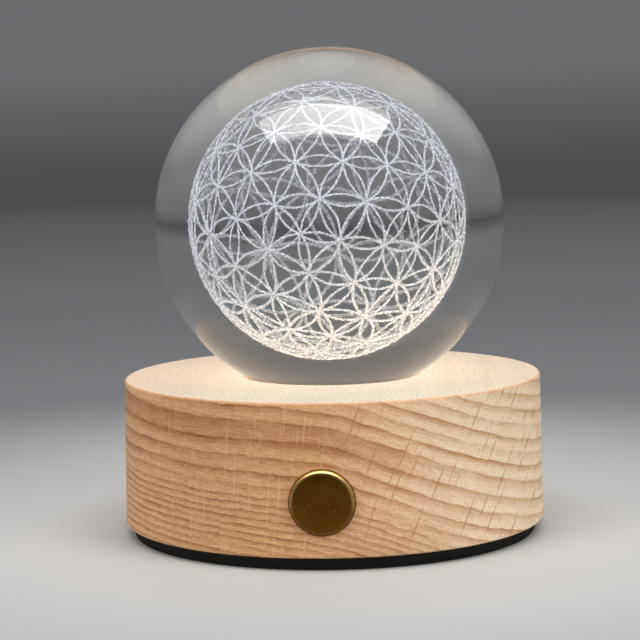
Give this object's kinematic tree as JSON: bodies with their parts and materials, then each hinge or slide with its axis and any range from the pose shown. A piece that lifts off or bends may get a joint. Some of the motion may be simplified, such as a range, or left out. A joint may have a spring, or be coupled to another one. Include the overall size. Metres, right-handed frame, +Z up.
{
  "type": "crystal ball lamp",
  "caption": "Clear glass ball with an engraved sphere inside, resting loose in the lit socket of a round wooden base with a push button in front and a charging socket behind.",
  "frame": {"origin": "middle of the foot pad's underside, on the turning axis of the base and the ball", "axes": "+Z up along the turning axis, -Y to the front where the button is, +Y to the back where the charging socket is, +X to the right seen from the front"},
  "size_m": [0.0722, 0.0729, 0.0829],
  "materials": {
    "clear_glass": "polished optical glass with a fine laser-engraved pattern inside",
    "oiled_beech": "turned and finely sanded beech, light oil",
    "black_foam_rubber": "matt closed-cell foam",
    "brass": "turned, polished rim",
    "plated_steel": "bright nickel plate",
    "frosted_acrylic": "frosted, translucent white",
    "black_plastic": "fine spark texture",
    "white_board": "white solder mask",
    "green_board": "green solder mask",
    "led_phosphor": "yellow phosphor in a white package",
    "pouch_foil": "laminated foil, satin",
    "white_foam": "soft foam tape",
    "red_silicone": "soft silicone sleeve",
    "black_silicone": "soft silicone sleeve"
  },
  "bodies": {
    "base": {"base_pad": "black_foam_rubber", "battery_cell": "pouch_foil", "battery_foam": "white_foam", "battery_lead_black": "black_silicone", "battery_lead_red": "red_silicone", "bottom_cover": "black_plastic", "charge_board": "green_board", "charge_board_screw_1": "plated_steel", "charge_board_screw_2": "plated_steel", "charge_chip": "black_plastic", "control_chip": "black_plastic", "cover_screw_1": "plated_steel", "cover_screw_2": "plated_steel", "cover_screw_3": "plated_steel", "cover_screw_4": "plated_steel", "driver_transistor": "black_plastic", "led_1": "led_phosphor", "led_2": "led_phosphor", "led_3": "led_phosphor", "led_4": "led_phosphor", "led_5": "led_phosphor", "led_6": "led_phosphor", "led_board": "white_board", "led_board_screw_1": "plated_steel", "led_board_screw_2": "plated_steel", "led_lead_black": "black_silicone", "led_lead_red": "red_silicone", "light_lens": "frosted_acrylic", "link_lead_black": "black_silicone", "link_lead_red": "red_silicone", "switch_board": "green_board", "switch_board_screw_1": "plated_steel", "switch_board_screw_2": "plated_steel", "switch_housing": "black_plastic", "usb_socket": "plated_steel", "wooden_base": "oiled_beech"},
    "ball": {"crystal_ball": "clear_glass"},
    "button": {"button_cap": "brass", "button_clip": "plated_steel"},
    "plunger": {"switch_plunger": "black_plastic"}
  },
  "joints": [
    {"name": "ball_lift", "type": "slide", "parent": "base", "child": "ball", "axis": [0, 0, 1], "range_m": [0, 0.03]},
    {"name": "button_press", "type": "slide", "parent": "base", "child": "button", "axis": [0, 1, 0], "range_m": [0, 0.0005], "stiffness_N_per_m": 4000},
    {"name": "plunger_slide", "type": "slide", "parent": "base", "child": "plunger", "axis": [0, 1, 0], "range_m": [0, 0.0005]}
  ],
  "couplings": [
    {"joint": "plunger_slide", "follows": "button_press", "ratio": 1}
  ]
}
